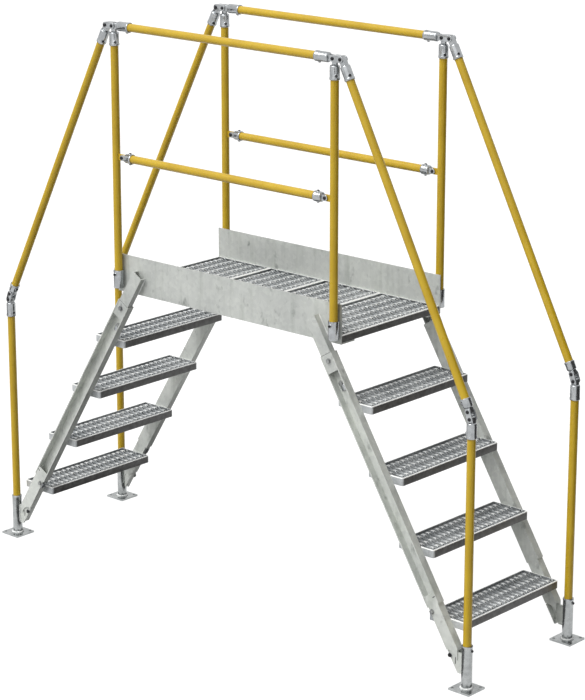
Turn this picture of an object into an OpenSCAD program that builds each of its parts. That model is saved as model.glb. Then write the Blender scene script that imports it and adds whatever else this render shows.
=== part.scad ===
// Crossover ladder: two stair flights meet at a level platform, with pipe rails on both sides.
// X runs along the crossing, Y across it and Z up; the origin is on the floor under the middle.
// Every side piece is drawn once for the +X +Y quarter and placed in the other three.

/* [Flights] */
// Height of one step
rise = 254; // [220:1:300]
// Horizontal distance from one nosing to the next
run = 157; // [130:1:210]
// Depth of a stair tread from its nosing to its rear edge
tread_depth = 175; // [150:1:220]
// Height of the turned-down skirt of a tread
tread_skirt = 32; // [22:1:45]
// Sheet thickness of the treads and planks
sheet = 2.6; // [1.5:0.1:4]
// Plan radius of the two front corners of a tread
tread_corner = 9; // [5:1:20]

/* [Platform] */
// Platform length from nosing to nosing
platform_len = 1222; // [1000:1:1700]
// Clear width between the side beams and between the stringers
clear_w = 600; // [500:1:900]
// Thickness of the deck planks, skirt included
plank_depth = 29; // [22:1:45]
// Gap left between neighbouring planks and at their ends
plank_gap = 1; // [0:0.5:3]

/* [Side beams] */
// Plate thickness of beams, stringers, brackets and legs
plate = 4.8; // [3:0.1:8]
// Height of the toe board above the deck
toe_h = 126; // [90:1:160]
// Width of the bottom flange that carries the planks
beam_flange = 75; // [50:1:120]
// How far a beam runs past the platform nosing
beam_past = 3; // [0:1:10]

/* [Stringers] */
// Depth of the stringer channel, square to the slope
stringer_depth = 64; // [55:1:90]
// Flange width of the stringer channel, from the inner face of its web
stringer_flange = 34; // [28:1:50]
// How far the stringer's front edge lies behind the nosing line
stringer_back = 53; // [45:1:70]
// Slope distance from the platform nosing to the stringer's upper end
stringer_start = 39; // [39:1:55]
// Slope distance from the stringer's lower end to floor level
stringer_stop = 407; // [340:1:440]
// Fit clearance of the brackets and legs inside the stringer
nest_gap = 0.4; // [0.2:0.1:1]
// Overlap of the upper bracket in the stringer
bracket_lap = 74; // [50:1:110]
// Overlap of the lower leg in the stringer
leg_lap = 43; // [35:1:90]
// Slope distance that the upper bracket runs up past the nosing
bracket_up = 118; // [90:1:130]

/* [Rails] */
// Outside diameter of the rail pipe
pipe_d = 33.4; // [30:0.1:36]
// Wall of the rail pipe
pipe_wall = 3.4; // [2:0.1:5]
// Height of the top rail above the deck
rail_h = 1081; // [900:1:1200]
// Height of the middle rail above the deck
mid_h = 541; // [450:1:600]
// Distance of the platform posts behind the platform nosing
post_inset = 19; // [17:1:60]
// How far the lower posts stand ahead of the lowest nosing
low_post_ahead = 33; // [30:1:60]
// Height of the lower hinge pin of the knee
knee_h = 1083; // [950:1:1150]

/* [Fittings] */
// Wall of every socket and sleeve
socket_wall = 4; // [3:0.1:5]
// Radial clearance of the pipe in a socket
socket_gap = 0.4; // [0.2:0.1:0.9]
// Thickness of the closed end of a socket
socket_stop = 6; // [4:1:10]
// Distance between the two pins of a top corner
corner_pins = 38; // [34:1:60]
// Slope-wise and vertical offsets between the two pins of a knee
knee_pins = [-10, 27];
// Radius of the round eyes about the pins
eye_r = 12; // [11:1:16]
// How much rounder a link is than the eyes beside it
link_more = 1; // [0.5:0.5:3]
// Thickness of the middle tongue of an eye
tongue_t = 10; // [8:1:14]
// Thickness of one cheek of a fork
cheek_t = 6; // [4:1:8]
// Diameter of a fitting pin
pin_d = 10; // [8:1:12]

/* [Feet] */
// Side of the square base plate
foot_side = 100; // [90:1:140]
// Thickness of the base plate
foot_t = 8; // [6:1:15]
// Height of the sleeve's top above the floor
sleeve_top = 180; // [150:1:220]
// Spacing of the anchor holes
anchor_pitch = 76; // [68:1:76]
// Diameter of the anchor holes
anchor_d = 11; // [9:1:14]

/* [Hidden] */

$fn = 48;
treads = 4;                               // treads in each flight
planks = 4;                               // planks in the platform
eps = 0.01;                               // run-through of cutting solids

deck_z = (treads + 1) * rise;             // top of the platform
half_len = platform_len / 2;
web_in = clear_w / 2;                     // inner face of beams and stringer webs
web_out = web_in + plate;                 // outer face of beams and stringer webs
tip_y = web_in + stringer_flange;         // outer tips of the stringer flanges
face_y = tip_y - 1;                       // outer face of the brackets and legs, just inside the tips
slope_len = norm([run, rise]);            // slope distance of one step
floor_t = (treads + 1) * slope_len;       // slope distance from the platform nosing to the floor
front_p = -stringer_back;                 // front edge of the stringer, square to the slope
rear_p = front_p - stringer_depth;        // rear edge of the stringer
nest_front = front_p - plate - nest_gap;  // the same two edges of what nests in it
nest_rear = rear_p + plate + nest_gap;
stringer_end = floor_t - stringer_stop;

socket_r = pipe_d / 2 + socket_gap + socket_wall;
bore_r = pipe_d / 2 + socket_gap;
weld_sink = 1;                            // depth that a round socket sinks into its weld
rail_y = web_out + socket_r - weld_sink;  // the rails' upright plane
post_x = half_len - post_inset;
low_post_x = half_len + treads * run + low_post_ahead;
rail_z = deck_z + rail_h;
mid_z = deck_z + mid_h;
beam_z = deck_z - plank_depth - plate;    // underside of the side beams

post_pocket = [beam_z + 20, 75];          // bottom and height of the post sockets on the beams
corner_post = [81, 56];                   // distance of a socket's mouth from its pin, and its length
corner_rail = [92, 66];
corner_slope = [85, 60];
knee_low = [76, 62];
knee_high = [51, 37];
mid_end = [55, 37];
mid_pin_x = post_x - 40;                  // pin of a middle rail's end
lug = [26, 8];                            // height and thickness of the lug on a post
lug_gap = 0.3;                            // clearance of a fork beside that lug
pin_head = [7, 5];                        // radius and height of a pin's head
bar_less = 0.6;                           // how much narrower a bar is than its round eye, on each side
arc_step = 15;                            // angle between the points of a link's round ends

corner_a = [post_x, rail_z];              // pins as points of the rails' upright plane
corner_b = [post_x + corner_pins, rail_z];
knee_a = [low_post_x, knee_h];
knee_b = knee_a + knee_pins;
stair_vec = knee_b - corner_b;
stair_len = norm(stair_vec);
stair_dir = stair_vec / stair_len;

leg_edge = low_post_x - 42;               // upright end of a leg beside the foot's sleeve
notch_c = [low_post_x - 82, 100];         // centre of the round notch in a leg's end
notch_r = 41;                             // radius of that notch
tab_t = 6;                                // thickness of the foot's tab
tab_low = foot_t + 49;                    // underside of the tab
tab_top = 190;                            // top of the tab, inside the leg
tab_root = 10;                            // how near the sleeve's axis the tab's root reaches
lip_rise = 8;                             // how far the lip starts above the tab's underside
lip_top = notch_c[1] + notch_r - 4;       // top of the lip, just under the leg's rear flange

steel = [0.74, 0.76, 0.74];
dark_steel = [0.55, 0.56, 0.56];
yellow = [0.80, 0.62, 0.13];

// A point at slope distance t below the platform nosing and p out of the nosing line
function slope_pt(t, p) =
    [half_len + (t * run + p * rise) / slope_len, deck_z + (p * run - t * rise) / slope_len];

// The line of constant p cut by an upright at x, as a height
function height_on(p, x) = deck_z + (p * slope_len - (x - half_len) * rise) / run;

// The line of constant p at height z, as a distance along X
function x_on(p, z) = half_len + (p * slope_len - (z - deck_z) * run) / rise;

// An outline in the X-Z plane given thickness from y_lo to y_hi
module upright(outline, y_lo, y_hi) {
    translate([0, y_hi, 0]) rotate([90, 0, 0]) linear_extrude(y_hi - y_lo) polygon(outline);
}

// A strip between two slope distances and two distances from the nosing line
function strip(t_lo, t_hi, p_lo, p_hi) =
    [slope_pt(t_lo, p_lo), slope_pt(t_hi, p_lo), slope_pt(t_hi, p_hi), slope_pt(t_lo, p_hi)];

// Puts a +X +Y piece into the quarter whose signs are sx and sy
module quarter(sx, sy) {
    if (sx > 0 && sy > 0) children();
    if (sx > 0 && sy < 0) mirror([0, 1, 0]) children();
    if (sx < 0 && sy > 0) mirror([1, 0, 0]) children();
    if (sx < 0 && sy < 0) rotate([0, 0, 180]) children();
}

// Points an upright piece from a pin at c in the rails' plane along the direction d
module aim(c, d) {
    translate([c[0], rail_y, c[1]]) rotate([0, atan2(d[0], d[1]), 0]) children();
}

// A pipe of length len rising from the origin
module pipe(len) {
    difference() {
        cylinder(r = pipe_d / 2, h = len);
        translate([0, 0, -eps]) cylinder(r = pipe_d / 2 - pipe_wall, h = len + 2 * eps);
    }
}

// A socket whose open mouth is reach[0] from the pin at the origin, reach[1] long
module socket(reach) {
    difference() {
        translate([0, 0, reach[0] - reach[1]]) cylinder(r = socket_r, h = reach[1]);
        translate([0, 0, reach[0] - reach[1] + socket_stop]) cylinder(r = bore_r, h = reach[1]);
    }
}

// Distance from the pin to the end of the pipe in such a socket
function seat(reach) = reach[0] - reach[1] + socket_stop;

// A flat eye about the pin at the origin with a bar to the socket, between y_lo and y_hi
module eye(reach, y_lo, y_hi) {
    translate([0, y_hi, 0]) rotate([90, 0, 0]) cylinder(r = eye_r, h = y_hi - y_lo);
    half = eye_r - bar_less;
    translate([-half, y_lo, 0]) cube([2 * half, y_hi - y_lo, reach[0] - reach[1] + socket_stop / 2]);
}

// Both cheeks of a fork beside a tongue of thickness gap
module fork(reach, gap) {
    eye(reach, gap / 2, gap / 2 + cheek_t);
    eye(reach, -gap / 2 - cheek_t, -gap / 2);
}

// A headed pin across the rails' plane, through a stack of thickness grip
module pin(grip) {
    rotate([90, 0, 0]) cylinder(r = pin_d / 2, h = grip + 2 * pin_head[1], center = true);
    for (s = [-1, 1])
        translate([0, s * (grip + pin_head[1]) / 2, 0])
            rotate([90, 0, 0]) cylinder(r = pin_head[0], h = pin_head[1], center = true);
}

// Outline of a round-ended link between the pins a and b
function link_outline(a, b) =
    let (r = eye_r + link_more, turn = atan2(b[1] - a[1], b[0] - a[0]))
    concat([for (k = [-90 : arc_step : 90]) b + r * [cos(turn + k), sin(turn + k)]],
        [for (k = [90 : arc_step : 270]) a + r * [cos(turn + k), sin(turn + k)]]);

// That link as a flat bar, from y_lo to y_hi about the rails' plane
module link(a, b, y_lo, y_hi) {
    upright(link_outline(a, b), rail_y + y_lo, rail_y + y_hi);
}

// Base plate, post sleeve and the lipped tab that the leg is bolted to
module foot() {
    tab_y = face_y - plate;
    difference() {
        union() {
            translate([low_post_x - foot_side / 2, rail_y - foot_side / 2, 0])
                cube([foot_side, foot_side, foot_t]);
            translate([low_post_x, rail_y, foot_t / 2]) cylinder(r = socket_r, h = sleeve_top - foot_t / 2);
            upright(tab_outline(), tab_y - tab_t, tab_y);
            upright(tab_lip(), web_in, tab_y);
        }
        translate([low_post_x, rail_y, foot_t]) cylinder(r = bore_r, h = sleeve_top);
        for (sx = [-1, 1], sy = [-1, 1])
            translate([low_post_x + sx * anchor_pitch / 2, rail_y + sy * anchor_pitch / 2, -1])
                cylinder(d = anchor_d, h = foot_t + 2);
    }
}

// The tab: its upper part lies inside the leg, its lower part shows below the leg's notch
function tab_outline() = [
    [low_post_x - tab_root, tab_low],
    [x_on(nest_rear, tab_low), tab_low],
    [x_on(nest_rear, lip_top), lip_top],
    [x_on(nest_rear + plate + nest_gap, lip_top), lip_top],
    [x_on(nest_rear + plate + nest_gap, tab_top), tab_top],
    [x_on(nest_front - plate - nest_gap, tab_top), tab_top],
    [leg_edge, notch_c[1] + notch_r],
    [low_post_x - tab_root, notch_c[1] + notch_r]];

// The lip along the tab's rear edge, in line with the leg's rear flange
function tab_lip() = [
    [x_on(nest_rear, tab_low + lip_rise), tab_low + lip_rise],
    [x_on(nest_rear, lip_top), lip_top],
    [x_on(nest_rear + plate, lip_top), lip_top],
    [x_on(nest_rear + plate, tab_low + lip_rise), tab_low + lip_rise]];

// Box-shaped leg nested in the stringer, cut upright beside the sleeve and round over the tab
module leg() {
    leg_t = stringer_end - leg_lap;
    inner_t = stringer_end + nest_gap;
    module wall(t, y_lo, y_hi, p_lo, p_hi)
        upright([slope_pt(t, p_hi), [leg_edge, height_on(p_hi, leg_edge)],
            [leg_edge, height_on(p_lo, leg_edge)], slope_pt(t, p_lo)], y_lo, y_hi);
    difference() {
        union() {
            wall(leg_t, face_y - plate, face_y, nest_rear, nest_front);
            wall(leg_t, web_out, face_y, nest_front - plate, nest_front);
            wall(leg_t, web_out, face_y, nest_rear, nest_rear + plate);
            wall(inner_t, web_in, web_out, nest_rear, nest_front);
        }
        translate([notch_c[0], 0, notch_c[1]]) rotate([-90, 0, 0]) cylinder(r = notch_r, h = tip_y);
        translate([notch_c[0] - 2 * notch_r, 0, -1]) cube([4 * notch_r, tip_y, notch_c[1] + 1]);
    }
}

// Stringer channel, open outward
module stringer() {
    upright(strip(stringer_start, stringer_end, rear_p, front_p), web_in, web_out);
    upright(strip(stringer_start, stringer_end, front_p - plate, front_p), web_in, tip_y);
    upright(strip(stringer_start, stringer_end, rear_p, rear_p + plate), web_in, tip_y);
}

// Bracket channel, open inward, welded to the beam and nested in the stringer's head
module bracket() {
    lo = -bracket_up;
    hi = stringer_start + bracket_lap;
    upright(strip(lo, hi, nest_rear, nest_front), face_y - plate, face_y);
    upright(strip(lo, hi, nest_front - plate, nest_front), web_out, face_y);
    upright(strip(lo, hi, nest_rear, nest_rear + plate), web_out, face_y);
}

// Closed-bottom socket for a platform post, on the outer face of the beam
module post_socket() {
    translate([post_x, rail_y, post_pocket[0]])
        difference() {
            cylinder(r = socket_r, h = post_pocket[1]);
            translate([0, 0, socket_stop]) cylinder(r = bore_r, h = post_pocket[1]);
        }
}

// Side beam at +Y: toe board, bottom flange, two brackets and two post sockets
module side_beam() {
    length = platform_len + 2 * beam_past;
    translate([-length / 2, web_in, beam_z]) cube([length, plate, plank_depth + plate + toe_h]);
    translate([-length / 2, web_in - beam_flange, beam_z]) cube([length, beam_flange + plate, plate]);
    for (s = [-1, 1])
        quarter(s, 1) {
            bracket();
            post_socket();
        }
}

// A block d deep and w wide below its top face at z = 0, round at its two front corners
module round_front(d, w, h, r) {
    translate([-d, -w / 2, -h]) cube([d - r, w, h]);
    translate([-d, r - w / 2, -h]) cube([d, w - 2 * r, h]);
    for (s = [-1, 1])
        translate([-r, s * (w / 2 - r), -h]) cylinder(r = r, h = h);
}

// Number k tread of the +X flight, counted from the platform: a tray open below
module tread(k) {
    translate([half_len + k * run, 0, deck_z - k * rise])
        difference() {
            round_front(tread_depth, clear_w, tread_skirt, tread_corner);
            translate([-sheet, 0, -sheet])
                round_front(tread_depth - 2 * sheet, clear_w - 2 * sheet, tread_skirt, tread_corner - sheet);
        }
}

// Number k deck plank, counted from the -X end: a tray open below, across the platform
module deck_plank(k) {
    pitch = platform_len / planks;
    w = pitch - plank_gap;
    len = clear_w - plank_gap;
    translate([-half_len + (k - 1) * pitch + plank_gap / 2, -len / 2, deck_z - plank_depth])
        difference() {
            cube([w, len, plank_depth]);
            translate([sheet, sheet, -sheet]) cube([w - 2 * sheet, len - 2 * sheet, plank_depth]);
        }
}

// Platform post with the lug that carries the middle rail
module post() {
    base = post_pocket[0] + socket_stop;
    translate([post_x, rail_y, base]) pipe(rail_z - seat(corner_post) - base);
    difference() {
        union() {
            translate([mid_pin_x, rail_y - lug[1] / 2, mid_z - lug[0] / 2])
                cube([post_x - mid_pin_x - pipe_d / 2 + pipe_wall / 2, lug[1], lug[0]]);
            translate([mid_pin_x, rail_y + lug[1] / 2, mid_z])
                rotate([90, 0, 0]) cylinder(d = lug[0], h = lug[1]);
        }
        translate([mid_pin_x, rail_y, mid_z])
            rotate([90, 0, 0]) cylinder(r = pin_d / 2 + lug_gap, h = 2 * lug[1], center = true);
    }
}

// Lower post from the base plate to the knee
module low_post() {
    translate([low_post_x, rail_y, foot_t]) pipe(knee_h - seat(knee_low) - foot_t);
}

// Sloping rail from the top corner to the knee
module stair_rail() {
    aim(corner_b, stair_dir) translate([0, 0, seat(corner_slope)])
        pipe(stair_len - seat(corner_slope) - seat(knee_high));
}

// A level rail of the +Y side between two sockets whose pins lie at -x and +x
module level_rail(x, z, reach) {
    translate([seat(reach) - x, rail_y, z]) rotate([0, 90, 0]) pipe(2 * (x - seat(reach)));
}

// Top corner: three sockets on two pins, under one link
module corner_fitting() {
    inner = tongue_t / 2 + cheek_t;
    outer = inner + plate;
    aim(corner_a, [0, -1]) {
        socket(corner_post);
        eye(corner_post, -tongue_t / 2, tongue_t / 2);
        pin(2 * outer);
    }
    aim(corner_a, [-1, 0]) {
        socket(corner_rail);
        fork(corner_rail, tongue_t);
    }
    aim(corner_b, stair_dir) {
        socket(corner_slope);
        eye(corner_slope, -inner, inner);
        pin(2 * outer);
    }
    link(corner_a, corner_b, inner, outer);
    link(corner_a, corner_b, -outer, -inner);
    translate([corner_a[0], rail_y - outer, rail_z + eye_r + link_more - plate])
        cube([corner_pins, 2 * outer, plate]);
}

// Knee: two sockets on two pins, with a link on each side
module knee_fitting() {
    inner = tongue_t / 2 + cheek_t;
    outer = inner + plate;
    aim(knee_a, [0, -1]) {
        socket(knee_low);
        eye(knee_low, -inner, inner);
        pin(2 * outer);
    }
    aim(knee_b, -stair_dir) {
        socket(knee_high);
        eye(knee_high, -inner, inner);
        pin(2 * outer);
    }
    link(knee_a, knee_b, inner, outer);
    link(knee_a, knee_b, -outer, -inner);
}

// End of a middle rail: socket, fork and pin through the post's lug
module mid_fitting() {
    gap = lug[1] + 2 * lug_gap;
    aim([mid_pin_x, mid_z], [-1, 0]) {
        socket(mid_end);
        fork(mid_end, gap);
        pin(gap + 2 * cheek_t);
    }
}

// Both ends of one side
module pair(sy) {
    quarter(1, sy) children();
    quarter(-1, sy) children();
}

// Signs of the four quarters, in the order in which NODES names them
signs = [[-1, -1], [-1, 1], [1, -1], [1, 1]];
names = ["left_front", "left_back", "right_front", "right_back"];

for (i = [0 : 3]) {
    sx = signs[i][0];
    sy = signs[i][1];
    color(steel) quarter(sx, sy) foot();
    color(steel) quarter(sx, sy) leg();
    color(steel) quarter(sx, sy) stringer();
    color(yellow) quarter(sx, sy) post();
    color(yellow) quarter(sx, sy) low_post();
    color(yellow) quarter(sx, sy) stair_rail();
}
for (k = [1 : planks])
    color(dark_steel) deck_plank(k);
for (k = [1 : treads]) {
    color(dark_steel) quarter(-1, 1) tread(k);
    color(dark_steel) tread(k);
}
for (side = [["front", -1], ["back", 1]]) {
    name = side[0];
    sy = side[1];
    color(steel) quarter(1, sy) side_beam();
    color(yellow) quarter(1, sy) level_rail(post_x, rail_z, corner_rail);
    color(yellow) quarter(1, sy) level_rail(mid_pin_x, mid_z, mid_end);
    color(steel) pair(sy) corner_fitting();
    color(steel) pair(sy) knee_fitting();
    color(steel) pair(sy) mid_fitting();
}
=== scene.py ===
import math

import bmesh
import bpy
import numpy as np
from mathutils import Matrix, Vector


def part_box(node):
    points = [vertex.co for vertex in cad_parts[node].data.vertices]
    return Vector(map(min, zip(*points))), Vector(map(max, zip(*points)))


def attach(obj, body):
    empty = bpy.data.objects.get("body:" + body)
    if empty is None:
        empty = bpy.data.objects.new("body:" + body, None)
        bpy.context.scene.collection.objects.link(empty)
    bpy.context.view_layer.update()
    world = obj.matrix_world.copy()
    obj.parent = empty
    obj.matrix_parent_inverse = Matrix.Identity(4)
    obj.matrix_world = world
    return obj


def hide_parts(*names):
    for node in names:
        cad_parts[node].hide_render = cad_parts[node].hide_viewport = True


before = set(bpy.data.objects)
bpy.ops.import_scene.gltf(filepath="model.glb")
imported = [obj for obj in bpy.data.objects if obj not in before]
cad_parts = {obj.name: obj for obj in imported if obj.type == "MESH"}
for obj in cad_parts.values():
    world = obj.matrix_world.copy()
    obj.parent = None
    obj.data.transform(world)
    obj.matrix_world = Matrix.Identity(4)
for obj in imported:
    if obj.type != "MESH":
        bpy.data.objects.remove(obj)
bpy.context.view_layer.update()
print("frame loaded:", len(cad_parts), "nodes")


def middle(node, axis):  # halfway between a node's two faces
    low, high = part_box(node)
    return (low[axis] + high[axis]) / 2


# places that every piece is worked out from, read off the frame
pipeR = (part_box("low_post_right_back")[1].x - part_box("low_post_right_back")[0].x) / 2
lowPostX = middle("low_post_right_back", 0)
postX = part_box("post_right_back")[1].x - pipeR
railY = middle("low_post_right_back", 1)
railZ = middle("top_rail_back", 2)
midZ = middle("mid_rail_back", 2)
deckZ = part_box("deck_plank_1")[1].z
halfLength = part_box("tread_right_1")[1].x - (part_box("tread_right_2")[1].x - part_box("tread_right_1")[1].x)
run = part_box("tread_right_1")[1].x - halfLength
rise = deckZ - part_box("tread_right_1")[1].z
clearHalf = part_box("tread_right_1")[1].y
slopeLength = math.hypot(run, rise)

ladder = {
    "plate": 0.0048,        # thickness of beams, stringers, brackets and legs
    "faceOut": 0.033,       # from the inner web face to the outer face of brackets and legs
    "rearEdge": -0.1118,    # rear edge of what nests in a stringer, out of the nosing line
    "frontEdge": -0.0582,
    "socketR": pipeR + 0.0044,      # outside of sockets and sleeves
    "boreR": pipeR + 0.0003,
    "footTop": 0.008,               # top of the base plates
    "sleeveTop": 0.180,
}
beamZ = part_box("deck_plank_1")[0].z - ladder["plate"]      # underside of the side beams
webOut = clearHalf + ladder["plate"]
faceY = clearHalf + ladder["faceOut"]


def slopePoint(t, p):
    # t along the stair slope from the platform nosing, p square to it out of the nosing line
    x = halfLength + (t * run + p * rise) / slopeLength
    return np.array([x, deckZ + (p * run - t * rise) / slopeLength])


# shapes: each function returns its points, its faces and the material number of every face

def quads(rows, cols, wrapRows=False, wrapCols=False):
    # face (i, j) joins the grid points i, i + 1 by j, j + 1; a wrapped side closes on its start
    i = np.arange(rows if wrapRows else rows - 1)[:, None]
    j = np.arange(cols if wrapCols else cols - 1)[None, :]
    a, b = i * cols + j, i * cols + (j + 1) % cols
    c, d = (i + 1) % rows * cols + j, (i + 1) % rows * cols + (j + 1) % cols
    return np.stack([a, b, d, c], axis=-1).reshape(-1, 4)


def sides(axis):
    # two unit vectors square to axis and to each other
    axis = np.array(axis, float) / np.linalg.norm(axis)
    helper = np.array([0, 0, 1.0]) if abs(axis[2]) < 0.9 else np.array([1.0, 0, 0])
    u = np.cross(helper, axis)
    u /= np.linalg.norm(u)
    return u, np.cross(axis, u), axis


def turned(profile, centre, axis, count):
    # point(i, k) = centre + h_i axis + r_i (u cos a + v sin a), a = 2 pi k / count, capped at both ends
    u, v, n = sides(axis)
    r, h = np.array(profile, float).T[:, :, None]
    a = np.linspace(0, 2 * np.pi, count, endpoint=False)[None, :]
    ring = np.cos(a)[..., None] * u + np.sin(a)[..., None] * v
    points = np.array(centre, float) + h[..., None] * n + r[..., None] * ring
    faces = quads(len(profile), count, False, True).tolist()
    faces += [list(range(count)), list(range((len(profile) - 1) * count, len(profile) * count))]
    return points.reshape(-1, 3), faces, [0] * len(faces)


def setIn(outline, d):
    # each corner moves along the sum of its two edge normals over (1 + their product): every edge shifts by d
    edge = np.roll(outline, -1, 0) - outline
    edge = edge / np.linalg.norm(edge, axis=1)[:, None]
    normal = np.stack([-edge[:, 1], edge[:, 0]], 1)
    before = np.roll(normal, 1, 0)
    return outline + d * (normal + before) / (1 + (normal * before).sum(1))[:, None]


def slab(outline, place, low, high, bevel):
    # rings at height low + b (1 - cos s), set in by b (1 - sin s), s from 0 to 90 degrees,
    # then mirrored at the top
    s = np.radians([0, 35, 65, 90])
    lift, inward = bevel * (1 - np.cos(s)), bevel * (1 - np.sin(s))
    heights = np.concatenate([low + lift, high - lift[::-1]])
    insets = np.concatenate([inward, inward[::-1]])
    rings = np.stack([np.column_stack([setIn(outline, d), np.full(len(outline), z)])
                      for d, z in zip(insets, heights)])
    n = len(outline)
    faces = quads(len(rings), n, False, True).tolist()
    faces += [list(range(n)), list(range((len(rings) - 1) * n, len(rings) * n))]
    return place(rings.reshape(-1, 3)), faces, [0] * len(faces)


def stadium(a, b, r, steps=9):
    # counter-clockwise outline of a round-ended bar: half circles of radius r about b and a
    a, b = np.array(a, float), np.array(b, float)
    turn = math.atan2(b[1] - a[1], b[0] - a[0])
    s = np.linspace(-np.pi / 2, np.pi / 2, steps) + turn
    half = np.column_stack([np.cos(s), np.sin(s)]) * r
    return np.concatenate([b + half, a - half])


def circle(r, count):
    s = np.linspace(0, 2 * np.pi, count, endpoint=False)
    return r * np.column_stack([np.cos(s), np.sin(s)])


def bead(path, r, closed=False, count=8, ripple=0.14, pitch=0.0045):
    # weld bead: a circle of radius r (1 + ripple sin(2 pi s / pitch)) carried along the path of length s
    path = np.array(path, float)
    step = np.roll(path, -1, 0) - np.roll(path, 1, 0)
    if not closed:
        step[0], step[-1] = path[1] - path[0], path[-1] - path[-2]
    n = step / np.linalg.norm(step, axis=1)[:, None]
    helper = np.array([0.31, 0.17, 0.93])
    u = np.cross(helper, n)
    u /= np.linalg.norm(u, axis=1)[:, None]
    v = np.cross(n, u)
    s = np.concatenate([[0], np.cumsum(np.linalg.norm(np.diff(path, axis=0), axis=1))])
    radius = r * (1 + ripple * np.sin(2 * np.pi * s / pitch))
    a = np.linspace(0, 2 * np.pi, count, endpoint=False)
    ring = np.cos(a)[None, :, None] * u[:, None] + np.sin(a)[None, :, None] * v[:, None]
    points = path[:, None] + radius[:, None, None] * ring
    faces = quads(len(path), count, closed, True).tolist()
    if not closed:
        faces += [list(range(count)), list(range((len(path) - 1) * count, len(path) * count))]
    return points.reshape(-1, 3), faces, [0] * len(faces)


def straight(a, b, spacing=0.0011):
    # evenly spaced points from a to b
    a, b = np.array(a, float), np.array(b, float)
    count = max(3, int(np.linalg.norm(b - a) / spacing))
    return a + np.linspace(0, 1, count)[:, None] * (b - a)


def upright(p):  # outline (x, z) and height y about the rails' plane, to x, y, z
    return np.column_stack([p[:, 0], railY + p[:, 2], p[:, 1]])


def onFace(p):  # outline (x, z) and height y, to x, y, z
    return np.column_stack([p[:, 0], p[:, 2], p[:, 1]])


def inQuarter(part, sx, sy):
    # a +X +Y shape mirrored into the quarter whose signs are sx and sy
    points, faces, looks = part
    return points * np.array([sx, sy, 1.0]), faces, looks


creaseAngle = 38      # degrees; edges sharper than this stay crisp


def addPiece(name, parts, materials, replaced=()):
    counts = np.cumsum([0] + [len(p[0]) for p in parts])
    points = np.concatenate([p[0] for p in parts])
    faces = [[i + start for i in f] for p, start in zip(parts, counts) for f in p[1]]
    mesh = bpy.data.meshes.new(name)
    mesh.from_pydata(points.tolist(), [], faces)
    for m in materials:
        mesh.materials.append(m)
    mesh.polygons.foreach_set("material_index", np.concatenate([np.array(p[2], np.int32) for p in parts]))
    work = bmesh.new()
    work.from_mesh(mesh)
    bmesh.ops.recalc_face_normals(work, faces=work.faces)
    work.to_mesh(mesh)
    work.free()
    piece = bpy.data.objects.new(name, mesh)
    bpy.context.scene.collection.objects.link(piece)
    mesh.shade_smooth()
    mesh.set_sharp_from_angle(angle=math.radians(creaseAngle))
    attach(piece, "root")
    if replaced:
        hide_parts(*replaced)


# finishes, which lie on the pieces by their own places

def srgb(r, g, b):  # 0 to 255 as seen, to the linear colour that a shader takes
    c = np.array([r, g, b]) / 255
    return (*np.where(c <= 0.04045, c / 12.92, ((c + 0.055) / 1.055) ** 2.4), 1.0)


def newFinish(name, metallic, roughness):
    finish = bpy.data.materials.new(name)
    finish.use_nodes = True
    tree = finish.node_tree
    shader = tree.nodes["Principled BSDF"]
    shader.inputs["Metallic"].default_value = metallic
    shader.inputs["Roughness"].default_value = roughness
    return finish, tree, shader


def objectPlace(tree, stretch=(1, 1, 1)):
    place = tree.nodes.new("ShaderNodeTexCoord")
    mapping = tree.nodes.new("ShaderNodeMapping")
    mapping.inputs["Scale"].default_value = stretch
    tree.links.new(place.outputs["Object"], mapping.inputs["Vector"])
    return mapping.outputs["Vector"]


def noise(tree, where, scale, detail=4.0, rough=0.5):
    n = tree.nodes.new("ShaderNodeTexNoise")
    n.inputs["Scale"].default_value = scale
    n.inputs["Detail"].default_value = detail
    n.inputs["Roughness"].default_value = rough
    tree.links.new(where, n.inputs["Vector"])
    return n.outputs["Fac"]


def ramp(tree, value, low, high, lowColour, highColour):
    r = tree.nodes.new("ShaderNodeValToRGB")
    r.color_ramp.elements[0].position = low
    r.color_ramp.elements[1].position = high
    r.color_ramp.elements[0].color = lowColour
    r.color_ramp.elements[1].color = highColour
    tree.links.new(value, r.inputs["Fac"])
    return r.outputs["Color"]


def mixColour(tree, kind, amount, a, b):
    m = tree.nodes.new("ShaderNodeMix")
    m.data_type, m.blend_type = "RGBA", kind
    m.inputs[0].default_value = amount
    tree.links.new(a, m.inputs[6])
    tree.links.new(b, m.inputs[7])
    return m.outputs[2]


def addBump(tree, shader, height, strength, distance):
    b = tree.nodes.new("ShaderNodeBump")
    b.inputs["Strength"].default_value = strength
    b.inputs["Distance"].default_value = distance
    tree.links.new(height, b.inputs["Height"])
    tree.links.new(b.outputs["Normal"], shader.inputs["Normal"])


def rangeOf(tree, value, low, high):
    r = tree.nodes.new("ShaderNodeMapRange")
    r.inputs["From Min"].default_value = 0.3
    r.inputs["From Max"].default_value = 0.7
    r.inputs["To Min"].default_value = low
    r.inputs["To Max"].default_value = high
    tree.links.new(value, r.inputs["Value"])
    return r.outputs["Result"]


plainWhite = (1, 1, 1, 1)      # leaves a colour as it is when the two are multiplied

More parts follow.
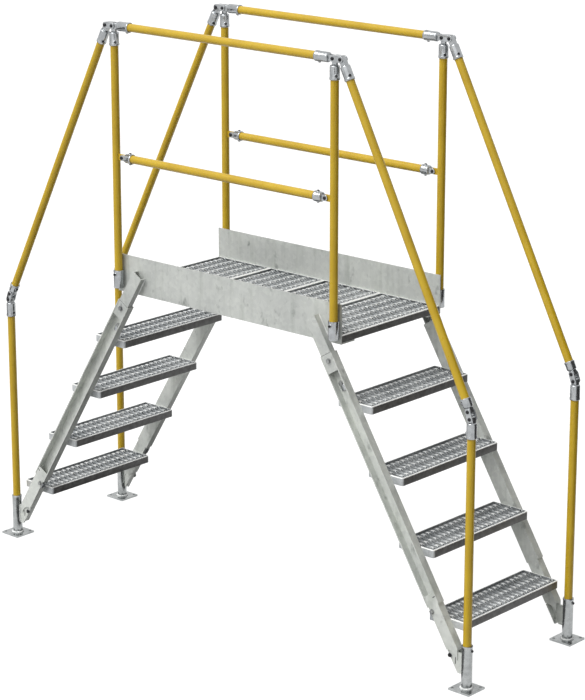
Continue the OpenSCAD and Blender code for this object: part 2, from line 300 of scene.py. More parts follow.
zincLook = {
    "pale": srgb(216, 219, 213), "dull": srgb(202, 205, 200),   # broad change of tone
    "smudge": srgb(138, 142, 140), "streak": srgb(226, 228, 225), "facet": (0.86, 0.86, 0.87, 1),
    "metallic": 0.12, "roughness": (0.36, 0.54), "spangle": 70,
}
beamLook = {**zincLook, "pale": srgb(203, 206, 201), "dull": srgb(190, 193, 189)}
gratingLook = {
    "pale": srgb(194, 197, 198), "dull": srgb(164, 168, 170),
    "smudge": srgb(176, 180, 182), "streak": srgb(232, 233, 233), "facet": (0.86, 0.86, 0.87, 1),
    "metallic": 0.30, "roughness": (0.26, 0.40), "spangle": 90,
}
paintLook = {
    "dull": srgb(188, 154, 18), "pale": srgb(200, 167, 28), "scuff": (0.72, 0.66, 0.55, 1),
    "roughness": (0.27, 0.40),
}


def zincFinish(name, pale, dull, smudge, streak, facet, metallic, roughness, spangle):
    # broad tone, times crystal facets, times upright runs and smudges left by the zinc bath
    finish, tree, shader = newFinish(name, metallic, 0.42)
    where = objectPlace(tree)
    colour = ramp(tree, noise(tree, where, 5.5, 3.0), 0.36, 0.64, dull, pale)
    crystals = tree.nodes.new("ShaderNodeTexVoronoi")
    crystals.inputs["Scale"].default_value = spangle
    tree.links.new(where, crystals.inputs["Vector"])
    split = tree.nodes.new("ShaderNodeSeparateColor")
    tree.links.new(crystals.outputs["Color"], split.inputs["Color"])
    facets = ramp(tree, split.outputs["Red"], 0.0, 1.0, facet, plainWhite)
    colour = mixColour(tree, "MULTIPLY", 0.8, colour, facets)
    runs = noise(tree, objectPlace(tree, (26, 26, 3.0)), 1.0, 3.0, 0.55)
    colour = mixColour(tree, "MULTIPLY", 0.8, colour, ramp(tree, runs, 0.50, 0.72, plainWhite, streak))
    spots = noise(tree, objectPlace(tree, (24, 24, 14)), 1.0, 4.0, 0.55)
    colour = mixColour(tree, "MULTIPLY", 0.75, colour, ramp(tree, spots, 0.62, 0.76, plainWhite, smudge))
    tree.links.new(colour, shader.inputs["Base Color"])
    tree.links.new(rangeOf(tree, noise(tree, where, 38, 4.0), *roughness), shader.inputs["Roughness"])
    addBump(tree, shader, noise(tree, where, 320, 3.0), 0.12, 0.0006)
    return finish


def paintFinish(name, dull, pale, scuff, roughness):
    finish, tree, shader = newFinish(name, 0.0, 0.36)
    where = objectPlace(tree)
    colour = ramp(tree, noise(tree, where, 9, 3.0), 0.30, 0.70, dull, pale)
    scuffs = noise(tree, objectPlace(tree, (60, 60, 30)), 1.0, 5.0, 0.6)
    colour = mixColour(tree, "MULTIPLY", 0.7, colour, ramp(tree, scuffs, 0.66, 0.78, plainWhite, scuff))
    tree.links.new(colour, shader.inputs["Base Color"])
    tree.links.new(rangeOf(tree, noise(tree, where, 60, 3.0), *roughness), shader.inputs["Roughness"])
    addBump(tree, shader, noise(tree, where, 700, 2.0), 0.10, 0.0003)      # orange peel of the powder coat
    return finish


def castFinish(name, pale, dull, metallic, roughness):
    finish, tree, shader = newFinish(name, metallic, roughness)
    where = objectPlace(tree)
    colour = ramp(tree, noise(tree, where, 45, 4.0), 0.35, 0.65, dull, pale)
    tree.links.new(colour, shader.inputs["Base Color"])
    sheen = rangeOf(tree, noise(tree, where, 90, 3.0), roughness - 0.06, roughness + 0.1)
    tree.links.new(sheen, shader.inputs["Roughness"])
    addBump(tree, shader, noise(tree, where, 420, 3.0), 0.12, 0.0004)
    return finish


zinc = zincFinish("galvanised", **zincLook)
beamZinc = zincFinish("galvanised_beam", **beamLook)
gratingZinc = zincFinish("galvanised_grating", **gratingLook)
yellow = paintFinish("safety_yellow", **paintLook)
# pale tone, dull tone, metallic, roughness
# painted highlight for the trays' rounded top edges and flat borders
highlightEdgeFinish = castFinish("painted_highlight_edge", srgb(250, 250, 248), srgb(236, 238, 236), 0.10, 0.30)
# painted highlight for the tops of the grating's raised rows
highlightTopFinish = castFinish("painted_highlight_grating_tops", srgb(240, 241, 240), srgb(214, 217, 217), 0.20, 0.30)
# painted shade for the trays' long outer skirts
shadeSkirtFinish = castFinish("painted_shade_skirt", srgb(112, 112, 111), srgb(92, 92, 91), 0.30, 0.40)
casting = castFinish("cast_zinc", srgb(176, 179, 181), srgb(158, 161, 163), 0.88, 0.17)
footZinc = castFinish("foot_zinc", srgb(176, 179, 179), srgb(154, 157, 157), 0.86, 0.18)
blackPin = castFinish("black_steel", srgb(46, 46, 50), srgb(26, 26, 29), 0.55, 0.38)
weldZinc = castFinish("weld_zinc", srgb(238, 239, 238), srgb(208, 210, 209), 0.3, 0.35)
boltZinc = castFinish("bolt_zinc", srgb(176, 178, 176), srgb(120, 122, 122), 0.75, 0.33)

for node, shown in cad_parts.items():
    painted = node.startswith(("post_", "low_post_", "top_rail_", "mid_rail_", "stair_rail_"))
    bare = footZinc if node.startswith("foot_") else beamZinc if node.startswith("side_beam") else zinc
    shown.data.materials.clear()
    shown.data.materials.append(yellow if painted else bare)
    if node.startswith("foot_"):
        # its tab is plain zinc like the leg that it holds
        shown.data.materials.append(zinc)
        for face in shown.data.polygons:
            spot = shown.matrix_world @ face.center
            onTab = abs(spot.x) < lowPostX - ladder["socketR"] - 0.001 and spot.z > 2 * ladder["footTop"]
            face.material_index = int(onTab)
print("finishes made")


# planks and treads of serrated diamond grating

grating = {
    "sheet": 0.0026,        # sheet thickness of the trays
    "cells": 21,            # diamonds along a tread
    "treadRows": 6,         # ribbons side by side
    "plankRows": 10,
    "treadBorder": 0.0055,  # width of the flat border round the openings
    "plankBorder": 0.0085,
    "treadCorner": 0.009,   # rounding of the tray's upright corners
    "plankCorner": 0.0015,
    "edge": 0.0030,         # rounding of the tray's top edge
    "ribbon": 0.0034,       # thickness of a ribbon
    "knuckle": 0.0074,      # thickness where two ribbons touch
    "depth": 0.014,         # height of a ribbon
    "below": 0.0008,        # how far the highest teeth stay under the border
    "dip": 0.0085,          # how far the ribbons sink between the raised rows
    "tooth": 0.0022,        # height of the teeth
    "bond": 0.0090,         # length over which two ribbons touch
    "tuck": 0.002,          # how far the ribbons run on under the border
    "highlit": 0.45,           # share of the dip over which the raised tops carry a painted highlight
}
# plain zinc, painted highlight on the tray edges, painted shade on the long skirts, painted highlight on the
# raised tops
gratingFinishes = [gratingZinc, highlightEdgeFinish, shadeSkirtFinish, highlightTopFinish]
bodyLook, edgeHighlightLook, skirtShadeLook, topHighlightLook = range(len(gratingFinishes))


def trayPlan(low, high, corner, d):
    # counter-clockwise plan of the tray set in by d, its corners rounded
    parts = []
    for sx, sy, start in ((1, -1, -90), (1, 1, 0), (-1, 1, 90), (-1, -1, 180)):
        r = max(corner - d, 0.0003)
        s = np.radians(start + np.linspace(0, 90, 7))
        x = (high[0] if sx > 0 else low[0]) - sx * (d + r) + r * np.cos(s)
        y = (high[1] if sy > 0 else low[1]) - sy * (d + r) + r * np.sin(s)
        parts.append(np.column_stack([x, y]))
    return np.concatenate(parts)


def trayFrame(low, high, corner, border):
    # a bent-sheet section (set-in d, height z) carried round the tray's plan
    g = grating
    top, bottom, under, fold = high[2], low[2], high[2] - g["sheet"], 0.001
    rounding = [(g["edge"] * (1 - math.cos(a)), top - g["edge"] * (1 - math.sin(a)))
                for a in np.radians([0, 30, 60, 90])]
    section = [(0, bottom), *rounding, (border, top), (border, under), (g["sheet"] + fold, under),
               (g["sheet"], under - fold), (g["sheet"], bottom)]
    rings = [trayPlan(low, high, corner, d) for d, _ in section]
    points = np.stack([np.column_stack([r, np.full(len(r), z)]) for r, (_, z) in zip(rings, section)])
    rows, cols = points.shape[:2]
    faces = quads(rows, cols, True, True)
    row, col = np.divmod(np.arange(len(faces)), cols)
    side = np.roll(rings[0], -1, 0) - rings[0]
    longSide = (np.abs(side[:, 1]) > np.abs(side[:, 0])) & (np.linalg.norm(side, axis=1) > 0.05)
    # painted highlight on the tray's rounded top edge and flat border
    looks = np.where((row >= 1) & (row <= len(rounding)), edgeHighlightLook, bodyLook)
    # painted shade on the outer skirt of the tray's two long sides
    looks = np.where((row == 0) & longSide[col], skirtShadeLook, looks)
    return points.reshape(-1, 3), faces.tolist(), looks.tolist()


def ribbon(number, rows, low, high, border):
    # zigzag along Y that touches the ribbons beside it by turns, at every half cell;
    # its top dips by dip (1 + cos(pi x / pitch)) / 2 and carries teeth, and a six-sided section runs along it
    g = grating
    x0, x1 = low[0] + border - g["tuck"], high[0] - border + g["tuck"]
    y0, y1 = low[1] + g["sheet"], high[1] - g["sheet"]
    pitch = (x1 - x0) / rows
    cell = (y1 - y0) / g["cells"] / 2
    steps = 7
    strand = np.arange(1, steps + 1) / (steps + 1)
    along = np.concatenate([[-g["bond"] / 2, g["bond"] / 2], g["bond"] / 2 + (cell - g["bond"]) * strand])
    across = np.concatenate([[1, 1], 1 - 2 * strand])
    tooth = np.concatenate([[1, 1], (np.arange(steps) + 1) % 2])
    h = np.arange(2 * g["cells"] + 1)
    side = (-1.0) ** (h + number)
    y = (y0 + h[:, None] * cell + along).ravel()
    x = (x0 + (number + 0.5) * pitch + side[:, None] * across * (pitch - g["knuckle"]) / 2).ravel()
    rough = np.tile(tooth, len(h))
    half = np.tile(np.where(np.abs(across) == 1, g["knuckle"], g["ribbon"]) / 2, len(h))
    keep = (y > y0 - 0.0005) & (y < y1 + 0.0005)
    x, y, rough, half = x[keep], y[keep], rough[keep], half[keep]
    smooth = high[2] - g["below"] - g["tooth"] - g["dip"] * (1 + np.cos(np.pi * (x - x0) / pitch)) / 2
    path = np.column_stack([x, y])
    step = np.gradient(path, axis=0)
    step /= np.linalg.norm(step, axis=1)[:, None]
    normal = np.column_stack([-step[:, 1], step[:, 0]])
    reach = np.array([-1, 1, 1, 0.55, -0.55, -1])
    lift = np.array([0, 0, 0.55, 1, 1, 0.55])
    plan = path[:, None] + half[:, None, None] * reach[None, :, None] * normal[:, None]
    z = np.where(lift > 0, smooth[:, None] + lift * g["tooth"] * rough[:, None], smooth[:, None] - g["depth"])
    points = np.concatenate([plan, z[..., None]], axis=-1)
    n, corners = len(path), len(reach)
    faces = quads(n, corners, False, True).tolist()
    faces += [list(range(corners)), list(range((n - 1) * corners, n * corners))]
    looks = np.full((n - 1, corners), bodyLook)
    # painted highlight on the upper faces of the raised rows
    raised = smooth[:-1] > high[2] - g["tooth"] - g["highlit"] * g["dip"]
    looks[:, 2:5] = np.where(raised, topHighlightLook, bodyLook)[:, None]
    return points.reshape(-1, 3), faces, looks.ravel().tolist() + [bodyLook, bodyLook]


def makeGrating(name, node, kind, flip=False):
    # kind is plank or tread
    rows, corner, border = (grating[kind + size] for size in ("Rows", "Corner", "Border"))
    low, high = (np.array(v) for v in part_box(node))
    if flip:                                             # worked out as a +X tread, then mirrored
        low[0], high[0] = -high[0], -low[0]
    parts = [trayFrame(low, high, corner, border)]
    parts += [ribbon(k, rows, low, high, border) for k in range(rows)]
    if flip:
        parts = [inQuarter(p, -1, 1) for p in parts]
    addPiece(name, parts, gratingFinishes, [node])


for k in (1, 2, 3, 4):
    makeGrating("platform_grating_%d" % k, "deck_plank_%d" % k, "plank")
    makeGrating("stair_grating_right_%d" % k, "tread_right_%d" % k, "tread")
    makeGrating("stair_grating_left_%d" % k, "tread_left_%d" % k, "tread", flip=True)
print("grating made")


# swivel fittings of the rails

fitting = {
    "eyeR": 0.012, "linkR": 0.013, "headR": 0.0072, "headH": 0.0048,
    "tongue": 0.005, "cheek": 0.011, "link": 0.0158,        # half thickness out to each layer
    "bevel": 0.0016,
    "cornerPins": 0.038, "kneeHeight": 1.083, "kneePins": (-0.010, 0.027),
    # each socket: its mouth's distance from the pin, its length
    "post": (0.081, 0.056), "rail": (0.092, 0.066), "slope": (0.085, 0.060),
    "kneeLow": (0.076, 0.062), "kneeHigh": (0.051, 0.037), "mid": (0.055, 0.037),
    "midPin": postX - 0.040, "midGap": 0.0043, "midCheek": 0.0103,
    "screwWay": (0.83, -0.56),      # where the corner castings' set screws point, in x and y
}
cornerA = np.array([postX, railZ])
cornerB = cornerA + [fitting["cornerPins"], 0]
kneeA = np.array([lowPostX, fitting["kneeHeight"]])
kneeB = kneeA + fitting["kneePins"]
stairWay = (kneeB - cornerB) / np.linalg.norm(kneeB - cornerB)


def socket(pin, way, reach):
    # cast socket turned about way: closed shoulder, barrel, raised collar at the mouth, bore
    r, bore = ladder["socketR"], ladder["boreR"]
    start, mouth = reach[0] - reach[1], reach[0]
    profile = [(0.0005, start), (r * 0.62, start), (r * 0.80, start + 0.0012), (r * 0.92, start + 0.0038),
               (r - 0.0011, start + 0.0080), (r - 0.0011, mouth - 0.0105), (r - 0.0005, mouth - 0.0090),
               (r, mouth - 0.0082), (r, mouth - 0.0012), (r - 0.0007, mouth - 0.0003), (r - 0.0016, mouth),
               (bore, mouth), (bore, start + 0.006), (0.0005, start + 0.006)]
    return turned(profile, (pin[0], railY, pin[1]), (way[0], 0, way[1]), 40)


def eye(pin, way, reach, low, high):
    # flat knuckle: round about the pin, running straight into the socket's shoulder
    way = np.array(way, float)
    end = np.array(pin) + way * (reach[0] - reach[1] + 0.0055)
    turn = math.atan2(way[1], way[0])
    s = np.linspace(np.pi / 2, 3 * np.pi / 2, 15) + turn
    half = np.column_stack([np.cos(s), np.sin(s)]) * fitting["eyeR"]
    square = np.array([-way[1], way[0]]) * fitting["eyeR"] * 0.98
    outline = np.concatenate([np.array(pin) + half, [end - square, end + square]])
    return slab(outline, upright, low, high, fitting["bevel"])


def pinHead(pin, height, side):
    # domed head: radius falls to zero as a quarter ellipse over its height
    s = np.radians([0, 30, 55, 75, 88])
    dome = [(fitting["headR"] * math.cos(a), fitting["headH"] * (0.35 + 0.65 * math.sin(a))) for a in s]
    profile = [(0.0005, -0.001), (fitting["headR"] * 0.96, -0.001), (fitting["headR"], 0.0004)] + dome
    return turned(profile, (pin[0], railY + side * height, pin[1]), (0, side, 0), 24)


def setScrew(point, way, rise, r=0.0052):
    # short screw with a chamfered rim and a hexagon socket sunk in its end
    body = [(0.0005, -0.004), (r, -0.004), (r, rise - 0.0008), (r - 0.0008, rise), (r * 0.55, rise),
            (r * 0.55, rise - 0.003), (0.0005, rise - 0.003)]
    return turned(body, point, way, 18)


def boss(point, way, rise, r=0.0078):
    # raised pad round a set screw
    pad = [(0.0005, -0.003), (r, -0.003), (r, rise - 0.0012), (r - 0.0012, rise), (0.0005, rise)]
    return turned(pad, point, way, 20)


def screwed(pin, way, reach, turn, back=0.016):
    # a boss and its screw on a socket, turn degrees round from the outward Y side
    way3 = np.array([way[0], 0, way[1]])
    square = np.cross(way3, [0, 1.0, 0])
    a = math.radians(turn)
    out = math.cos(a) * np.array([0, 1.0, 0]) + math.sin(a) * square
    centre = np.array([pin[0], railY, pin[1]]) + way3 * (reach[0] - back)
    spot = centre + out * (ladder["socketR"] - 0.0012)
    return boss(spot, out, 0.0018), setScrew(spot, out, 0.0048)


def cornerParts(facing):
    f = fitting
    down, back = (0.0, -1.0), (-1.0, 0.0)
    cast = [socket(cornerA, down, f["post"]), socket(cornerA, back, f["rail"]),
            socket(cornerB, stairWay, f["slope"]),
            eye(cornerA, down, f["post"], -f["tongue"], f["tongue"]),
            eye(cornerA, back, f["rail"], f["tongue"] + 0.0002, f["cheek"]),
            eye(cornerA, back, f["rail"], -f["cheek"], -f["tongue"] - 0.0002),
            eye(cornerB, stairWay, f["slope"], -f["cheek"], f["cheek"]),
            slab(stadium(cornerA, cornerB, f["linkR"]), upright, f["cheek"] + 0.0001, f["link"], 0.0012),
            slab(stadium(cornerA, cornerB, f["linkR"]), upright, -f["link"], -f["cheek"] - 0.0001, 0.0012)]
    top = cornerA[1] + f["linkR"]
    plate = np.array([[cornerA[0] - 0.002, top - 0.0046], [cornerB[0] + 0.002, top - 0.0046],
                      [cornerB[0] + 0.002, top - 0.0002], [cornerA[0] - 0.002, top - 0.0002]])
    cast.append(slab(plate, upright, -f["link"] + 0.0004, f["link"] - 0.0004, 0.001))
    dark = [pinHead(p, f["link"], s) for p in (cornerA, cornerB) for s in (-1, 1)]
    for pin, way, reach, turn in ((cornerA, down, f["post"], facing), (cornerA, back, f["rail"], 90),
                                  (cornerB, stairWay, f["slope"], facing)):
        pad, screw = screwed(pin, way, reach, turn)
        cast.append(pad)
        dark.append(screw)
    return cast, dark


def kneeParts():
    f = fitting
    down, up = (0.0, -1.0), -stairWay
    cast = [socket(kneeA, down, f["kneeLow"]), socket(kneeB, up, f["kneeHigh"]),
            eye(kneeA, down, f["kneeLow"], -f["cheek"], f["cheek"]),
            eye(kneeB, up, f["kneeHigh"], -f["cheek"], f["cheek"]),
            slab(stadium(kneeA, kneeB, f["linkR"]), upright, f["cheek"] + 0.0001, f["link"], 0.0012),
            slab(stadium(kneeA, kneeB, f["linkR"]), upright, -f["link"], -f["cheek"] - 0.0001, 0.0012)]
    dark = [pinHead(p, f["link"], s) for p in (kneeA, kneeB) for s in (-1, 1)]
    screws = ((kneeA, down, f["kneeLow"], -80, 0.018), (kneeB, up, f["kneeHigh"], 80, 0.014))
    for pin, way, reach, turn, back in screws:
        pad, screw = screwed(pin, way, reach, turn, back)
        cast.append(pad)
        dark.append(screw)
    return cast, dark


def midParts():
    f = fitting
    pin, back = np.array([f["midPin"], midZ]), (-1.0, 0.0)
    cast = [socket(pin, back, f["mid"]), eye(pin, back, f["mid"], f["midGap"], f["midCheek"]),
            eye(pin, back, f["mid"], -f["midCheek"], -f["midGap"])]
    dark = [pinHead(pin, f["midCheek"], s) for s in (-1, 1)]
    for turn in (90, -90):
        pad, screw = screwed(pin, back, f["mid"], turn, 0.014)
        cast.append(pad)
        dark.append(screw)
    return cast, dark


mirroredParts = {"knee": kneeParts, "mid": midParts}      # the corners' screws all point one way instead


def addFittings(kind, side, sy):
    castBoth, darkBoth = [], []
    for sx in (-1, 1):
        x, y = fitting["screwWay"]
        facing = math.degrees(math.atan2(sx * x, sy * y))
        cast, dark = cornerParts(facing) if kind == "corner" else mirroredParts[kind]()
        castBoth += [inQuarter(p, sx, sy) for p in cast]
        darkBoth += [inQuarter(p, sx, sy) for p in dark]
    replaced = ["%s_fittings_%s" % (kind, side)]
    addPiece("%s_castings_%s" % (kind, side), castBoth, [casting], replaced)
    addPiece("%s_pins_%s" % (kind, side), darkBoth, [blackPin])


for kind in ("corner", "knee", "mid"):
    addFittings(kind, "front", -1)
    addFittings(kind, "back", 1)
print("fittings made")


# bolts, screws, clips and welds

hardware = {
    "across": 0.0165, "headH": 0.0068, "headEdge": 0.0012, "washerR": 0.0115, "washerT": 0.0018,
    # along the slope, and square to it out of the nosing line
    "bracketBolt": (0.067, -0.083), "stringerBolt": (0.163, -0.094), "legBolt": (1.106, -0.102),
    "legSlot": (1.058, -0.070), "bracketSeam": (0.0376, 0.0390),
    # x and z
    "tabBolt": (lowPostX - 0.078, 0.121), "tabSlot": (lowPostX - 0.053, 0.105),
    "slotR": 0.0018, "slotSkin": (-0.001, 0.0002), "slotEdge": 0.0001,
    "socketTop": beamZ + 0.095, "socketFoot": beamZ + 0.0198, "screwDown": 0.017, "screwSink": 0.001,
    "footWeld": 0.0042, "seamWeld": 0.0028, "seamSide": 0.0095,
}


def hexBolt(point, way, small=1.0):
    # washer, then a hexagon with its edges rounded, square to way
    h = hardware
    u, v, n = sides(way)
    point = np.array(point, float)
    r, t = h["washerR"] * small, h["washerT"]
    disc = [(0.0005, -0.0005), (r, -0.0005), (r, t * 0.7), (r * 0.93, t), (0.0005, t)]
    washer = turned(disc, point, way, 28)
    hexagon = circle(h["across"] * small / math.sqrt(3), 6)
    head = slab(hexagon, lambda p: point + p[:, :1] * u + p[:, 1:2] * v + p[:, 2:] * n, h["washerT"] - 0.0002,
                h["washerT"] + h["headH"] * small, h["headEdge"])
    return [washer, head]


def tilted(t0, t1, p0, p1):
    # rectangle between two slope distances and two distances from the nosing line, counter-clockwise
    return np.array([slopePoint(t0, p0), slopePoint(t1, p0), slopePoint(t1, p1), slopePoint(t0, p1)])


def boltParts():
    # bolts of bracket, stringer and leg, then the foot's tab bolt; its head alone is dark
    h = hardware
    light = []
    for spot, seat, small in ((h["bracketBolt"], faceY, 1.0), (h["stringerBolt"], webOut, 1.0),
                              (h["legBolt"], faceY, 0.9)):
        x, z = slopePoint(*spot)
        light += hexBolt((x, seat, z), (0, 1, 0), small)
    x, z = h["tabBolt"]
    washer, head = hexBolt((x, faceY - ladder["plate"], z), (0, 1, 0), 0.85)
    return light + [washer], [head]


def slotParts():
    # slots of the leg and of the foot's tab, and the seam across the bracket: dark skins on their faces
    h = hardware
    t, p = h["legSlot"]
    x, z = h["tabSlot"]
    marks = ((stadium(slopePoint(t, p), slopePoint(t - 0.002, p + 0.015), h["slotR"]), faceY),
             (tilted(*h["bracketSeam"], ladder["rearEdge"] + 0.001, ladder["frontEdge"] - 0.001), faceY),
             (stadium((x, z - 0.012), (x, z + 0.012), h["slotR"]), faceY - ladder["plate"]))
    low, high = h["slotSkin"]
    return [slab(outline, onFace, seat + low, seat + high, h["slotEdge"]) for outline, seat in marks]


def clipParts():
    # clip beside the stringer's bolt, and the nut plate that shows behind the leg
    t, p = hardware["stringerBolt"]
    clip = tilted(t + 0.006, t + 0.031, p - 0.009, p + 0.013)
    t, rear = hardware["legBolt"][0], ladder["rearEdge"]
    nutPlate = tilted(t - 0.006, t + 0.020, rear - 0.0045, rear + 0.0005)
    return [slab(clip, onFace, webOut - 0.0002, webOut + 0.005, 0.0012),
            slab(nutPlate, onFace, faceY - 0.026, faceY - 0.002, 0.001)]


def mouthParts():
    # a rolled rim and a set screw on a boss at each open pipe mouth, and the bright skin of the post's socket
    h, r, bore = hardware, ladder["socketR"], ladder["boreR"] + 0.0001
    light, dark = [], []
    rim = [(r - 0.0006, -0.0080), (r + 0.0010, -0.0074), (r + 0.0012, -0.0015), (r + 0.0004, 0.0004),
           (r - 0.0016, 0.0008), (bore, 0.0006), (bore, -0.0080)]
    for x, top, out in ((postX, h["socketTop"], (0, 1, 0)), (lowPostX, ladder["sleeveTop"], (1, 0, 0))):
        spot = np.array([x, railY, top - h["screwDown"]]) + np.array(out) * (r - h["screwSink"])
        light += [boss(spot, out, 0.003), turned(rim, (x, railY, top), (0, 0, 1), 40)]
        dark.append(setScrew(spot, out, 0.0075))
    foot, top = h["socketFoot"], h["socketTop"] - 0.006
    skin = [(r - 0.001, foot), (r - 0.0004, foot), (r + 0.0005, foot + 0.0012), (r + 0.0005, top),
            (r - 0.001, top)]
    light.append(turned(skin, (postX, railY, 0), (0, 0, 1), 48))
    return light, dark


def weldParts():
    # bead round the sleeve, then straight beads by the post's socket, along the bracket and at the foot's tab
    h = hardware
    s, ringR = np.linspace(0, 2 * np.pi, 180, endpoint=False), ladder["socketR"] + 0.0012
    ring = np.column_stack([lowPostX + ringR * np.cos(s), railY + ringR * np.sin(s),
                            np.full(len(s), ladder["footTop"] + 0.001)])
    seams = []
    for x in (postX - h["seamSide"], postX + h["seamSide"]):
        seams.append(((x, webOut + 0.0016, beamZ + 0.022), (x, webOut + 0.0016, h["socketTop"] - 0.004)))
    for edge, stop in (("rearEdge", -0.032), ("frontEdge", 0.002)):
        first, last = slopePoint(-0.116, ladder[edge]), slopePoint(stop, ladder[edge])
        seams.append(((first[0], webOut + 0.001, first[1]), (last[0], webOut + 0.001, last[1])))
    x, y = lowPostX - 0.0195, faceY - ladder["plate"] + 0.0008
    seams.append(((x, y, 0.060), (x, y, 0.138)))
    return [bead(ring, h["footWeld"], closed=True)] + [bead(straight(*seam), h["seamWeld"]) for seam in seams]


bolts, tabHeads = boltParts()
rims, screws = mouthParts()
darkOnes = tabHeads + slotParts() + screws
hardwarePieces = (("bolts", bolts, boltZinc), ("set_screws_and_slots", darkOnes, blackPin),
                  ("clips_and_rims", clipParts() + rims, casting), ("welds", weldParts(), weldZinc))
for name, parts, finish in hardwarePieces:
    quarters = [inQuarter(part, sx, sy) for sx in (-1, 1) for sy in (-1, 1) for part in parts]
    addPiece(name, quarters, [finish])
print("hardware made")


# floor, light and camera

studio = {
    "azimuth": 42.356, "elevation": 15.701, "roll": -0.083, "distance": 10.2496, "aim": (0, 0, 1.13563),
    "lens": 128.12, "shift": (0.0225, -0.0355),
    "brightWay": (-0.78, -0.30, 0.55), "brightRange": (-0.7, 0.8), "worldDim": 0.05, "worldBright": 1.02,
    "keyWay": (-0.35, -0.85, 1.25), "key": 1.85, "keySpread": 35,      # degrees
    "fillWay": (0.2, -1.0, 0.6), "fill": 0.45, "fillSpread": 60,
    "floorHalf": 60, "floorTone": 0.24, "floorSeen": 0.22, "floorGlow": 0.89,
    "flagTone": 0.06,
}
flags = {      # corners of each board
    "flag_right": [(2.3, -0.2, 0), (2.3, 3.2, 0), (2.3, 3.2, 2.4), (2.3, -0.2, 2.4)],
    "flag_left": [(-2.9, -1.7, 0), (-2.6, -0.7, 0), (-2.6, -0.7, 2.4), (-2.9, -1.7, 2.4)],
    "flag_front": [(1.9, -3.0, 1.4), (2.5, -2.5, 1.4), (2.5, -2.5, 2.6), (1.9, -3.0, 2.6)],
    "flag_under": [(-1.15, -0.75, 0.003), (1.15, -0.75, 0.003), (1.15, 0.75, 0.003), (-1.15, 0.75, 0.003)],
}


def paleFloor():
    finish = bpy.data.materials.new("pale_floor")
    finish.use_nodes = True
    tree = finish.node_tree
    tree.nodes.clear()
    out = tree.nodes.new("ShaderNodeOutputMaterial")
    rays = tree.nodes.new("ShaderNodeLightPath")
    seen = tree.nodes.new("ShaderNodeMath")
    seen.operation = "MAXIMUM"
    tree.links.new(rays.outputs["Is Camera Ray"], seen.inputs[0])
    tree.links.new(rays.outputs["Is Glossy Ray"], seen.inputs[1])
    plain = tree.nodes.new("ShaderNodeBsdfDiffuse")
    plain.inputs["Color"].default_value = (*[studio["floorTone"]] * 3, 1)
    thin = tree.nodes.new("ShaderNodeBsdfDiffuse")
    thin.inputs["Color"].default_value = (*[studio["floorSeen"]] * 3, 1)
    glow = tree.nodes.new("ShaderNodeEmission")
    glow.inputs["Strength"].default_value = studio["floorGlow"]
    both = tree.nodes.new("ShaderNodeAddShader")
    mix = tree.nodes.new("ShaderNodeMixShader")
    tree.links.new(thin.outputs[0], both.inputs[0])
    tree.links.new(glow.outputs[0], both.inputs[1])
    tree.links.new(seen.outputs[0], mix.inputs[0])
    tree.links.new(plain.outputs[0], mix.inputs[1])
    tree.links.new(both.outputs[0], mix.inputs[2])
    tree.links.new(mix.outputs[0], out.inputs["Surface"])
    mesh = bpy.data.meshes.new("floor")
    size = studio["floorHalf"]
    corners = [(-size, -size, 0), (size, -size, 0), (size, size, 0), (-size, size, 0)]
    mesh.from_pydata(corners, [], [(0, 1, 2, 3)])
    mesh.materials.append(finish)
    floor = bpy.data.objects.new("floor", mesh)
    bpy.context.scene.collection.objects.link(floor)


def roomLight():
    world = bpy.data.worlds.new("studio")
    bpy.context.scene.world = world
    world.use_nodes = True
    tree = world.node_tree
    tree.nodes.clear()
    out = tree.nodes.new("ShaderNodeOutputWorld")
    rays = tree.nodes.new("ShaderNodeLightPath")
    seen = tree.nodes.new("ShaderNodeMath")
    seen.operation = "MAXIMUM"
    more = tree.nodes.new("ShaderNodeMath")
    more.operation = "MAXIMUM"
    tree.links.new(rays.outputs["Is Camera Ray"], seen.inputs[0])
    tree.links.new(rays.outputs["Is Glossy Ray"], seen.inputs[1])
    tree.links.new(seen.outputs[0], more.inputs[0])
    tree.links.new(rays.outputs["Is Transmission Ray"], more.inputs[1])
    soft = tree.nodes.new("ShaderNodeBackground")          # brighter from -X and above, dim from +X
    sky = tree.nodes.new("ShaderNodeTexCoord")
    facing = tree.nodes.new("ShaderNodeVectorMath")
    facing.operation = "DOT_PRODUCT"
    facing.inputs[1].default_value = studio["brightWay"]
    tree.links.new(sky.outputs["Generated"], facing.inputs[0])
    level = tree.nodes.new("ShaderNodeMapRange")
    level.inputs["From Min"].default_value, level.inputs["From Max"].default_value = studio["brightRange"]
    level.inputs["To Min"].default_value = studio["worldDim"]
    level.inputs["To Max"].default_value = studio["worldBright"]
    tree.links.new(facing.outputs["Value"], level.inputs["Value"])
    tree.links.new(level.outputs["Result"], soft.inputs["Strength"])
    white = tree.nodes.new("ShaderNodeBackground")
    white.inputs["Strength"].default_value = 1.0
    for b in (soft, white):
        b.inputs["Color"].default_value = (1, 1, 1, 1)
    mix = tree.nodes.new("ShaderNodeMixShader")
    tree.links.new(more.outputs[0], mix.inputs[0])
    tree.links.new(soft.outputs[0], mix.inputs[1])
    tree.links.new(white.outputs[0], mix.inputs[2])
    tree.links.new(mix.outputs[0], out.inputs["Surface"])


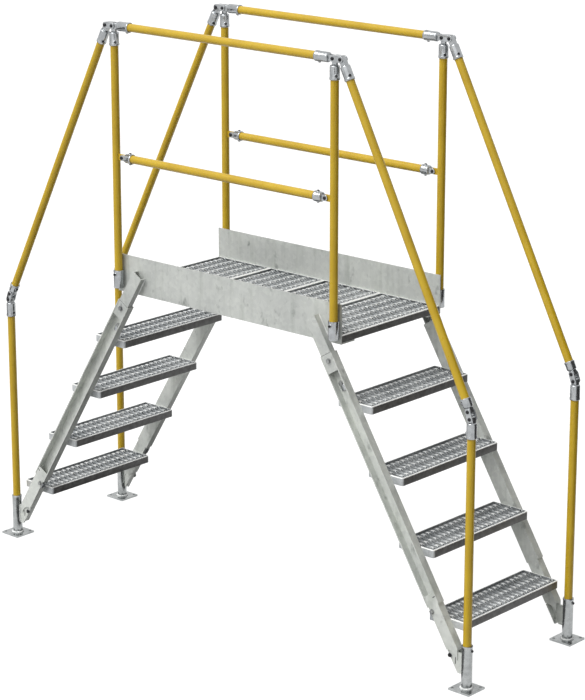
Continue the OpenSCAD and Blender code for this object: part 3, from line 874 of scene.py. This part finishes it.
def addFlag(name, corners):
    # dark board that only gloss sees, as black card stands beside shiny metal
    finish = bpy.data.materials.new(name)
    finish.use_nodes = True
    shader = finish.node_tree.nodes["Principled BSDF"]
    shader.inputs["Base Color"].default_value = (*[studio["flagTone"]] * 3, 1)
    shader.inputs["Specular IOR Level"].default_value = 0.0
    mesh = bpy.data.meshes.new(name)
    mesh.from_pydata(corners, [], [(0, 1, 2, 3)])
    mesh.materials.append(finish)
    flag = bpy.data.objects.new(name, mesh)
    bpy.context.scene.collection.objects.link(flag)
    flag.visible_camera = flag.visible_diffuse = flag.visible_shadow = False
    flag.visible_transmission = False


def addSun(name, way, strength, spread):
    # way points from the object towards the light
    lamp = bpy.data.lights.new(name, "SUN")
    lamp.energy = strength
    lamp.angle = math.radians(spread)
    sun = bpy.data.objects.new(name, lamp)
    bpy.context.scene.collection.objects.link(sun)
    u, v, n = sides(way)
    sun.matrix_world = Matrix(np.stack([u, v, n], axis=1).tolist()).to_4x4()


def addCamera():
    az, el, roll = (math.radians(studio[k]) for k in ("azimuth", "elevation", "roll"))
    back = np.array([math.sin(az) * math.cos(el), -math.cos(az) * math.cos(el), math.sin(el)])
    right = np.array([math.cos(az), math.sin(az), 0])
    up = np.cross(back, right)
    right, up = right * math.cos(roll) + up * math.sin(roll), up * math.cos(roll) - right * math.sin(roll)
    place = np.array(studio["aim"]) + back * studio["distance"]
    data = bpy.data.cameras.new("camera")
    data.lens, data.sensor_width = studio["lens"], 36
    data.shift_x, data.shift_y = studio["shift"]
    camera = bpy.data.objects.new("camera", data)
    bpy.context.scene.collection.objects.link(camera)
    columns = np.column_stack([right, up, back, place])
    camera.matrix_world = Matrix(columns.tolist() + [[0, 0, 0, 1]])
    bpy.context.scene.camera = camera


paleFloor()
roomLight()
for name, corners in flags.items():
    addFlag(name, corners)
addSun("key", studio["keyWay"], studio["key"], studio["keySpread"])
addSun("fill", studio["fillWay"], studio["fill"], studio["fillSpread"])
addCamera()
bpy.context.scene.view_settings.view_transform = "Standard"
print("studio made")
